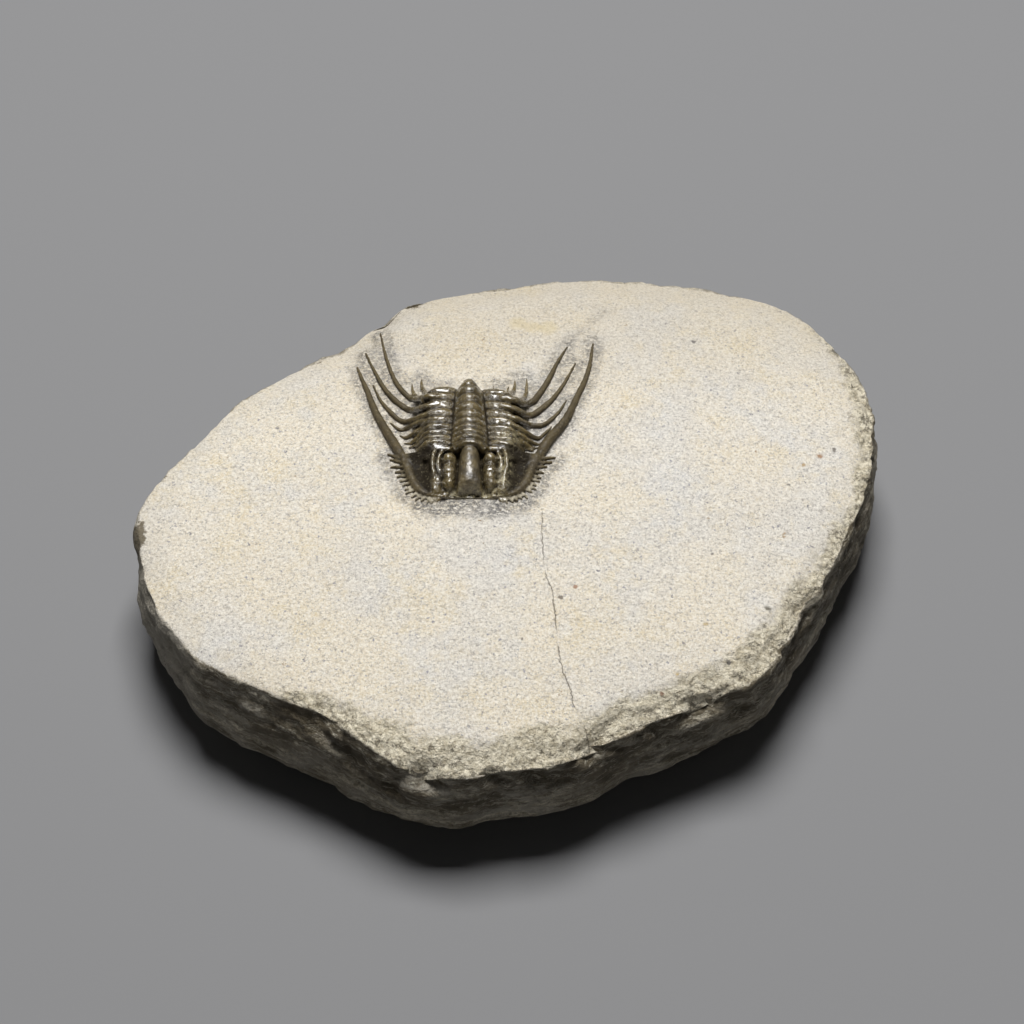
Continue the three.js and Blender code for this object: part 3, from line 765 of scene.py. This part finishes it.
def fuse(piece, detail):
    """Turns overlapping closed forms into one skin."""
    remesh = piece.modifiers.new("fuse", "REMESH")
    remesh.mode = "VOXEL"
    remesh.voxel_size = detail
    bpy.context.view_layer.objects.active = piece
    bpy.ops.object.modifier_apply(modifier="fuse")


def neighbour_mean(mesh, points):
    """The mean of each point's neighbours."""
    edges = np.empty(len(mesh.edges) * 2, int)
    mesh.edges.foreach_get("vertices", edges)
    a, b = edges.reshape(-1, 2).T
    total = np.zeros_like(points)
    np.add.at(total, a, points[b])
    np.add.at(total, b, points[a])
    count = np.bincount(edges, minlength=len(points))
    return total / np.maximum(count, 1)[:, None]


# Where the shell is worn pale: middle and radius.
WORN = [
    *(((x, y), 0.8) for x, y in ((4.9, 5), (4.9, 3.2), (4.6, 1.4), (4, -0.2))),
    ((5.6, 8.8), 1.2),
    ((3.2, -0.4), 0.7),
    *(((x, -0.2), 0.45) for x in (-2.8, -2, -1.2, -0.4, 0.4, 1.2, 2)),
]


def shell_relief(points):
    """Fine pits all over, and knobs on the side lobes and ridges of the head."""
    pits = 0.055 * rough(points, 0.9, 3, 71) + 0.035 * lumps(points, 0.4, 75)
    out = np.abs(points[:, 0])
    knobbly = smooth(1.7, 2.1, out) * smooth(5.4, 5, out) * smooth(7, 6.4, points[:, 1])
    return pits + 0.11 * knobbly * lumps(points, 0.8, 79)


def paint_shell(mesh, points, hollow):
    """Stores what the material reads at each point. Points are in the trilobite's own frame."""
    out = np.abs(points[:, 0])
    back = points[:, 1]
    inset = head_edge(back) - out
    worn = np.zeros(len(points))
    for (x, y), radius in WORN:
        worn = np.maximum(worn, np.exp(-((points[:, 0] - x) ** 2 + (back - y) ** 2) / radius**2))
    paint(mesh, {
        # hollow: how deep each point lies in a hollow. The material paints the shell near black there,
        # partly dark filling and partly painted shade.
        "hollow": np.clip(hollow / 0.25, -1, 1),
        # cheek: where the material paints the cheeks darker, as painted shade in their hollows.
        "cheek": smooth(4.9, 5.6, out) * smooth(0.7, 1.5, inset) * smooth(7.7, 7.1, back),
        "dull": np.maximum(smooth(5, 5.8, out) * smooth(7.4, 6.8, back), smooth(8.2, 9.2, out)),
        "satin": smooth(1.7, 1.4, out) * smooth(6.5, 6.1, back),
        "worn": worn,
        "comb": smooth(0, 0.35, -inset) * smooth(5, 1, back),
    })


def trilobite_shell(paths):
    """The whole animal as one skin, with its hollows measured for the material."""
    pieces = [head(), thorax(), *(tube(f"spine_{i}", path) for i, path in enumerate(paths))]
    shell = join(pieces, "trilobite_shell")
    fuse(shell, SHELL_DETAIL)
    mesh = shell.data
    points = read_vectors(mesh.vertices, "co")
    for _ in range(2):
        points = points + 0.45 * (neighbour_mean(mesh, points) - points)
    write_points(mesh, points)
    normal = read_vectors(mesh.vertex_normals, "vector")
    wide = points
    for _ in range(14):
        wide = neighbour_mean(mesh, wide)
    hollow = ((wide - points) * normal).sum(axis=1)
    points = points + normal * shell_relief(points)[:, None]
    write_points(mesh, points + FOSSIL_ORIGIN)
    shade_smooth(mesh)
    paint_shell(mesh, points, hollow)
    return shell


class Paint:
    """Builds one material's nodes. Each method returns the socket or colour that it makes."""

    def __init__(self, name):
        self.material = bpy.data.materials.new(name)
        self.material.use_nodes = True
        self.tree = self.material.node_tree
        self.shader = self.tree.nodes["Principled BSDF"]
        self.place = self.vector("SCALE", self.node("TexCoord").outputs["Object"], scale=1 / MM)

    def feed(self, socket, value):
        if isinstance(value, bpy.types.NodeSocket):
            self.tree.links.new(value, socket)
        elif value is not None:
            socket.default_value = value

    def node(self, kind, **inputs):
        node = self.tree.nodes.new("ShaderNode" + kind)
        for name, value in inputs.items():
            self.feed(node.inputs[name], value)
        return node

    def vector(self, operation, a, b=None, scale=None):
        node = self.node("VectorMath")
        node.operation = operation
        self.feed(node.inputs[0], a)
        self.feed(node.inputs[1], b)
        if scale is not None:
            node.inputs["Scale"].default_value = scale
        return node.outputs["Value" if operation == "DISTANCE" else "Vector"]

    def math(self, operation, a, b=None):
        node = self.node("Math")
        node.operation = operation
        self.feed(node.inputs[0], a)
        self.feed(node.inputs[1], b)
        return node.outputs[0]

    def times(self, first, *others):
        """The product of two or more values."""
        product = first
        for other in others:
            product = self.math("MULTIPLY", product, other)
        return product

    def noise(self, size, detail=3, roughness=0.5, stretch=None, shift=0.0):
        """Cloudy values about 0.5, with features about size millimetres across."""
        place = self.place
        if stretch is not None:
            place = self.vector("MULTIPLY", place, stretch)
        place = self.vector("ADD", place, (shift, shift * 0.7, shift * 1.3))
        node = self.node("TexNoise", Vector=place, Scale=1 / size, Detail=detail, Roughness=roughness)
        return node.outputs[0]

    def sway(self, size, detail, roughness, shift=0.0):
        """Noise that runs to both sides of 0."""
        return self.math("SUBTRACT", self.noise(size, detail, roughness, shift=shift), 0.5)

    def specks(self, size, radius, share, shift=0.0):
        """1 inside small grains scattered through the rock, 0 outside."""
        waver = self.node("TexNoise", Vector=self.place, Scale=3 / size).outputs["Color"]
        place = self.vector("ADD", self.place, self.vector("SCALE", waver, scale=size))
        place = self.vector("ADD", place, (shift, shift, shift))
        grains = self.node("TexVoronoi", Vector=place, Scale=1 / size)
        here = self.ramp(grains.outputs["Distance"], radius / size, 0.6 * radius / size)
        chance = self.node("SeparateColor", Color=grains.outputs["Color"]).outputs[0]
        return self.times(here, self.math("LESS_THAN", chance, share))

    def ramp(self, value, start, end, low=0.0, high=1.0):
        node = self.node("MapRange")
        node.interpolation_type = "SMOOTHSTEP"
        self.feed(node.inputs[0], value)
        for socket, number in zip(node.inputs[1:5], (start, end, low, high)):
            socket.default_value = number
        return node.outputs[0]

    def attribute(self, name):
        node = self.node("Attribute")
        node.attribute_name = name
        return node.outputs["Fac"]

    def mix(self, share, a, b):
        """Colour a where share is 0, and colour b where it is 1."""
        node = self.node("Mix")
        node.data_type = "RGBA"
        self.feed(node.inputs["Factor"], share)
        self.feed(node.inputs["A"], a if isinstance(a, bpy.types.NodeSocket) else (*a, 1))
        self.feed(node.inputs["B"], b if isinstance(b, bpy.types.NodeSocket) else (*b, 1))
        return node.outputs["Result"]

    def bump(self, height, depth, below=None):
        """Relief depth millimetres high, on top of the relief below."""
        return self.node("Bump", Distance=depth * MM, Height=height, Normal=below).outputs[0]

    def finish(self, colour, roughness, normal):
        self.feed(self.shader.inputs["Base Color"], colour)
        self.feed(self.shader.inputs["Roughness"], roughness)
        self.feed(self.shader.inputs["Normal"], normal)
        return self.material


# Faint ochre stains on the dressed face: place and radius.
STAINS = [((0.9, 33.7), 1.8), ((3, 33), 1.5), ((5.3, 32.7), 1.9)]
STAIN_TINT = (0.6, 0.48, 0.23)
# Small coloured marks on the dressed face: place, radius and colour.
MARKS = [
    ((43.3, 8.2), 0.75, (0.3, 0.14, 0.04)),
    ((40.9, 6.4), 0.5, (0.42, 0.28, 0.12)),
    ((45.5, 9.5), 0.5, (0.14, 0.12, 0.1)),
    ((47.1, 29.4), 0.6, (0.12, 0.11, 0.09)),
    ((38.6, 2.6), 0.4, (0.15, 0.13, 0.11)),
    ((27.3, -10.1), 0.4, (0.12, 0.11, 0.1)),
    ((26.4, 29.8), 0.45, (0.13, 0.12, 0.11)),
    ((28.9, -27.6), 0.5, (0.1, 0.09, 0.08)),
    ((8.6, -16.2), 0.4, (0.3, 0.15, 0.08)),
    ((19.7, -32.5), 0.45, (0.3, 0.15, 0.08)),
    ((34.5, -18.8), 0.7, (0.08, 0.07, 0.04)),
    ((6.5, -18), 0.45, (0.12, 0.1, 0.08)),
    ((21.8, -29.9), 0.5, (0.5, 0.36, 0.15)),
    ((26, -22), 0.45, (0.5, 0.38, 0.2)),
    ((9.2, -23.7), 0.3, (0.16, 0.14, 0.12)),
    ((1.3, -24.9), 0.3, (0.16, 0.14, 0.12)),
]
# Clouds of colour on the dressed face: size, shift, strength and colour.
CLOUDS = [
    (7, 31, 0.7, (0.66, 0.545, 0.34)),
    (9, 57, 0.5, (0.57, 0.575, 0.59)),
    (3, 37, 0.45, (0.7, 0.585, 0.38)),
]
# Coloured grains in the dressed face: spacing, radius, share of the places filled, shift and colour.
GRAINS = [
    (0.8, 0.2, 0.25, 3, (0.24, 0.24, 0.28)),
    (1.4, 0.26, 0.14, 13, (0.14, 0.14, 0.17)),
    (2.6, 0.3, 0.12, 29, (0.33, 0.22, 0.11)),
]


def face_colour(p):
    """The dressed face: warm and bluish clouds, fine grain and scattered dark grains."""
    colour = p.mix(p.ramp(p.noise(16, 5, 0.6), 0.36, 0.62), (0.61, 0.57, 0.51), (0.69, 0.605, 0.465))
    for size, shift, share, tint in CLOUDS:
        cloud = p.ramp(p.noise(size, 6, 0.7, shift=shift), 0.5, 0.68, 0, share)
        colour = p.mix(cloud, colour, tint)
    pale_grain = p.ramp(p.noise(0.35, 4, 0.85, shift=11), 0.4, 0.62, 0, 0.7)
    colour = p.mix(pale_grain, colour, (0.93, 0.89, 0.8))
    dark_grain = p.ramp(p.noise(0.42, 4, 0.85, shift=23), 0.5, 0.64, 0, 0.76)
    colour = p.mix(dark_grain, colour, (0.29, 0.265, 0.24))
    for size, radius, share, shift, tint in GRAINS:
        colour = p.mix(p.times(p.specks(size, radius, share, shift), 0.75), colour, tint)
    colour = p.mix(p.times(p.attribute("edge"), 0.2), colour, (0.5, 0.44, 0.33))
    # Darker and browner towards the back rim: partly the rock's brownish cast there, partly painted shade.
    return p.mix(p.times(p.attribute("back"), 0.42), colour, (0.42, 0.36, 0.26))


def broken_colour(p):
    """Freshly chipped rock: cream crumbs with dark pits, more of them along the rim. The crumbs' light and
    dark stand partly for light and shade on their fine relief, and the pits are painted shadow in small
    holes.
    """
    # Light and dark crumbs: the rock's cream, with painted light and shade of fine relief.
    crumbs = p.ramp(p.noise(0.8, 7, 0.85, shift=71), 0.4, 0.6)
    colour = p.mix(crumbs, (0.5, 0.43, 0.29), (0.97, 0.89, 0.7))
    # Painted shadow: dark pits, as small holes in shade, more of them along the rim.
    pits = p.math("ADD", p.noise(0.9, 5, 0.8, shift=73), p.times(p.attribute("rim"), 0.05))
    return p.mix(p.ramp(pits, 0.54, 0.62, 0, 0.85), colour, (0.12, 0.098, 0.06))


def side_colour(p, fresh):
    """The weathered side: grey-brown rock in thin level layers."""
    cloud = p.ramp(p.noise(9, 5, 0.6, shift=77), 0.35, 0.65)
    colour = p.mix(cloud, (0.3, 0.26, 0.195), (0.5, 0.46, 0.38))
    layers = p.noise(2.2, 6, 0.75, stretch=(0.35, 0.35, 2), shift=81)
    colour = p.mix(p.ramp(layers, 0.46, 0.6, 0, 0.7), colour, fresh)
    return p.mix(p.times(p.attribute("bare"), 0.75), colour, (0.52, 0.48, 0.4))


def crust_share(p, side, ragged):
    """Where olive crust covers the side: most under the rim, hardly any on the left end and the back."""
    patches = p.noise(5, 8, 0.75, stretch=(0.45, 0.45, 1.4), shift=91)
    patches = p.math("ADD", patches, p.times(p.attribute("rim"), 0.1))
    crust = p.times(p.ramp(patches, 0.45, 0.62), p.ramp(side, 0.25, 0.8))
    bare = p.times(p.math("MAXIMUM", p.attribute("bare"), p.attribute("back")), 0.8)
    crust = p.times(crust, p.math("SUBTRACT", 1, bare))
    coated = p.math("ADD", p.attribute("coated"), ragged)
    return p.math("MAXIMUM", crust, p.ramp(coated, 0.35, 0.6))


def seams(p, side):
    """Thin pale seams that run level along the side, crust and all."""
    lines = 0
    for size, shift in ((5, 87), (3, 88)):
        layers = p.noise(size, 6, 0.6, (0.3, 0.3, 1.6), shift)
        away = p.math("ABSOLUTE", p.math("SUBTRACT", layers, 0.5))
        lines = p.math("MAXIMUM", lines, p.ramp(away, 0.016, 0))
    broken_up = p.ramp(p.noise(1.2, 5, 0.8, shift=89), 0.42, 0.58, 0.1, 0.75)
    return p.times(lines, broken_up, side, p.math("SUBTRACT", 1, p.attribute("bare")))


def scratches(p):
    """Where the preparation tool scratched the rock round the trilobite, in patches."""
    marks = p.ramp(p.noise(0.42, 4, 0.8, stretch=(0.7, 1, 1), shift=41), 0.44, 0.58)
    patches = p.ramp(p.noise(2.6, 4, 0.7, shift=43), 0.36, 0.58, 0.35, 1)
    return p.times(marks, patches, p.attribute("halo"))


def with_marks(p, colour):
    """Adds the stains and the small coloured marks on the dressed face."""
    flat = p.vector("MULTIPLY", p.place, (1, 1, 0))
    waver = p.times(p.sway(0.8, 3, 0.6), 1.1)
    stains = [(place, radius, STAIN_TINT, 0.35) for place, radius in STAINS]
    marks = [(place, 0.85 * radius, tint, 0.8) for place, radius, tint in MARKS]
    for (x, y), radius, tint, share in stains + marks:
        away = p.math("ADD", p.vector("DISTANCE", flat, (x, y, 0)), waver)
        colour = p.mix(p.ramp(away, radius, 0.4 * radius, 0, share), colour, tint)
    return colour


def crack_line(p):
    """1 on the crack, which wanders and thins out in places."""
    wander = p.times(p.sway(0.9, 4, 0.7, shift=5), 0.9)
    away = p.math("ABSOLUTE", p.math("ADD", p.attribute("crack"), wander))
    width = p.ramp(p.noise(3, 3, shift=8), 0.4, 0.6, -0.04, 0.05)
    return p.ramp(p.math("SUBTRACT", away, width), 0.06, -0.02)


def limestone_material():
    p = Paint("limestone")
    ragged = p.times(p.sway(1.1, 6, 0.75, shift=67), 1.5)
    side = p.ramp(p.math("ADD", p.attribute("side"), ragged), 0.2, 0.8)
    broken = p.ramp(p.math("ADD", p.attribute("broken"), ragged), 0.2, 0.8)
    fresh = broken_colour(p)
    crust = crust_share(p, side, ragged)
    crust_colour = p.mix(p.noise(0.9, 5, 0.75, shift=97), (0.03, 0.023, 0.012), (0.2, 0.155, 0.08))
    scratched = scratches(p)
    line = crack_line(p)

    colour = p.mix(p.times(broken, 0.85), face_colour(p), fresh)
    colour = p.mix(side, colour, side_colour(p, fresh))
    colour = p.mix(p.times(crust, 0.9), colour, crust_colour)
    colour = p.mix(seams(p, side), colour, (0.75, 0.69, 0.55))
    colour = p.mix(p.times(scratched, 0.85), colour, (0.11, 0.11, 0.12))
    colour = with_marks(p, colour)
    colour = p.mix(p.times(line, 0.7), colour, (0.2, 0.16, 0.11))

    normal = p.bump(p.noise(0.35, 4, 0.8, shift=15), 0.25)
    normal = p.bump(p.noise(1.1, 5, 0.7, shift=19), 0.3, normal)
    crags = p.times(p.math("MAXIMUM", side, broken), p.sway(1.5, 5, 0.65, shift=27))
    normal = p.bump(crags, 1.4, normal)
    normal = p.bump(p.times(scratched, -1), 0.15, normal)
    normal = p.bump(p.times(line, -1), 0.2, normal)
    return p.finish(colour, p.math("SUBTRACT", 0.92, p.times(crust, 0.25)), normal)


def shell_colour(p, dark, dull):
    """Glossy olive-brown shell, lighter olive on its crests, near black in its hollows and on its cheeks,
    and worn pale along some edges. The black in the hollows is partly dark filling and partly painted
    shade, and on the cheeks it is painted shade.
    """
    hollow = p.attribute("hollow")
    tone = p.ramp(p.noise(1.8, 5, 0.65), 0.35, 0.65)
    colour = p.mix(tone, (0.05, 0.037, 0.017), (0.135, 0.1, 0.04))
    colour = p.mix(p.ramp(hollow, -0.15, -0.75, 0, 0.6), colour, (0.22, 0.165, 0.07))
    colour = p.mix(p.times(dull, 0.55), colour, (0.06, 0.048, 0.032))
    # Painted shade: near black in the hollows, where dark filling also lies, and over the cheeks.
    colour = p.mix(p.times(dark, 0.94), colour, (0.014, 0.011, 0.008))
    pale = p.ramp(p.noise(0.35, 4, 0.8, shift=9), 0.56, 0.68, 0, 0.35)
    worn = p.times(p.attribute("worn"), p.ramp(p.noise(0.6, 4, 0.7, shift=33), 0.42, 0.58))
    colour = p.mix(p.math("MAXIMUM", pale, worn), colour, (0.38, 0.33, 0.2))
    dust = p.ramp(p.noise(0.6, 4, 0.7, shift=35), 0.4, 0.6, 0.35, 0.9)
    return p.mix(p.times(p.attribute("comb"), dust), colour, (0.5, 0.45, 0.34))


def shell_material():
    p = Paint("fossil_shell")
    dull = p.attribute("dull")
    # Painted shade: the shell is darkened in its hollows, where dark filling also lies, and over its
    # cheeks. The same places are made less glossy.
    hollow_shade = p.ramp(p.attribute("hollow"), -0.05, 0.35)
    dark = p.math("MAXIMUM", hollow_shade, p.times(p.attribute("cheek"), 0.95))
    colour = shell_colour(p, dark, dull)

    softer = p.math("MAXIMUM", p.math("MAXIMUM", dark, dull), p.times(p.attribute("satin"), 0.8))
    roughness = p.ramp(p.noise(0.8, 4, 0.7, shift=3), 0.3, 0.7, 0.1, 0.3)
    roughness = p.math("ADD", roughness, p.times(softer, 0.4))
    shine = p.math("SUBTRACT", 1, p.math("MAXIMUM", dark, p.times(dull, 0.8)))
    p.feed(p.shader.inputs["Specular IOR Level"], p.times(shine, 0.8))
    p.feed(p.shader.inputs["Coat Weight"], shine)
    p.feed(p.shader.inputs["Coat Roughness"], p.math("ADD", 0.045, p.times(softer, 0.35)))
    normal = p.bump(p.noise(0.3, 4, 0.75, shift=7), 0.12)
    normal = p.bump(p.noise(0.9, 4, 0.6, shift=13), 0.2, normal)
    return p.finish(colour, roughness, normal)


def floor_piece():
    half = FLOOR_HALF_WIDTH
    corners = [(-half, -half, 0), (half, -half, 0), (half, half, 0), (-half, half, 0)]
    floor = make_mesh("floor", np.array(corners) * MM, [(0, 1, 2, 3)])
    material = bpy.data.materials.new("floor")
    material.use_nodes = True
    shader = material.node_tree.nodes["Principled BSDF"]
    shader.inputs["Base Color"].default_value = (0.2, 0.2, 0.203, 1)
    shader.inputs["Roughness"].default_value = 0.9
    floor.data.materials.append(material)
    return floor


def aim(thing, place, target):
    thing.location = place
    thing.rotation_euler = (Vector(target) - Vector(place)).to_track_quat("-Z", "Y").to_euler()


def add_camera():
    data = bpy.data.cameras.new("camera")
    data.lens = LENS
    data.sensor_width = SENSOR
    data.clip_start = 0.01
    camera = add_object("camera", data)
    target = np.array(VIEW_TARGET) * MM
    back = np.array([0, -math.cos(VIEW_ELEVATION), math.sin(VIEW_ELEVATION)])
    aim(camera, target + back * VIEW_DISTANCE * MM, target)
    bpy.context.scene.camera = camera


def add_light(name, azimuth, elevation, distance, size, power):
    """A square soft light. Azimuth 0 is straight behind the block, and turns towards the right."""
    data = bpy.data.lights.new(name, "AREA")
    data.size = size
    data.energy = power
    light = add_object(name, data)
    a, e = math.radians(azimuth), math.radians(elevation)
    away = np.array([math.sin(a) * math.cos(e), math.cos(a) * math.cos(e), math.sin(e)])
    target = np.array(VIEW_TARGET) * MM
    aim(light, target + away * distance, target)


def add_studio():
    add_light("key", azimuth=0, elevation=73, distance=0.9, size=0.38, power=12.1)
    add_light("fill", azimuth=180, elevation=40, distance=1.2, size=0.8, power=0.25)
    world = bpy.data.worlds.new("studio")
    bpy.context.scene.world = world
    world.use_nodes = True
    background = world.node_tree.nodes["Background"]
    background.inputs["Color"].default_value = (0.97, 0.98, 1, 1)
    background.inputs["Strength"].default_value = 0.032
    bpy.context.scene.view_settings.view_transform = "Standard"


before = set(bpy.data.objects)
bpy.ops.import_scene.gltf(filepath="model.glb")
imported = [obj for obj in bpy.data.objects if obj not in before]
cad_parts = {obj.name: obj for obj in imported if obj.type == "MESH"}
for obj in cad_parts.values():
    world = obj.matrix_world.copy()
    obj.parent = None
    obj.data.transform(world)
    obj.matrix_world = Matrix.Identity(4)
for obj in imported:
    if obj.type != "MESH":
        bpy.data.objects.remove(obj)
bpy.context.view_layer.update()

add_camera()
add_studio()
floor_piece()

spines = all_spines()
shell = trilobite_shell(spines)
block = limestone_block(footprint_tree(spines))

for piece, node, slot, material in (
    (shell, "trilobite", "shell", shell_material()),
    (block, "limestone_block", "limestone", limestone_material()),
):
    piece.data.transform(((MM, 0, 0, 0), (0, MM, 0, 0), (0, 0, MM, 0), (0, 0, 0, 1)))
    piece.data.materials.clear()
    piece.data.materials.append(material)
    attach(piece, "root")
    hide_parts(node)
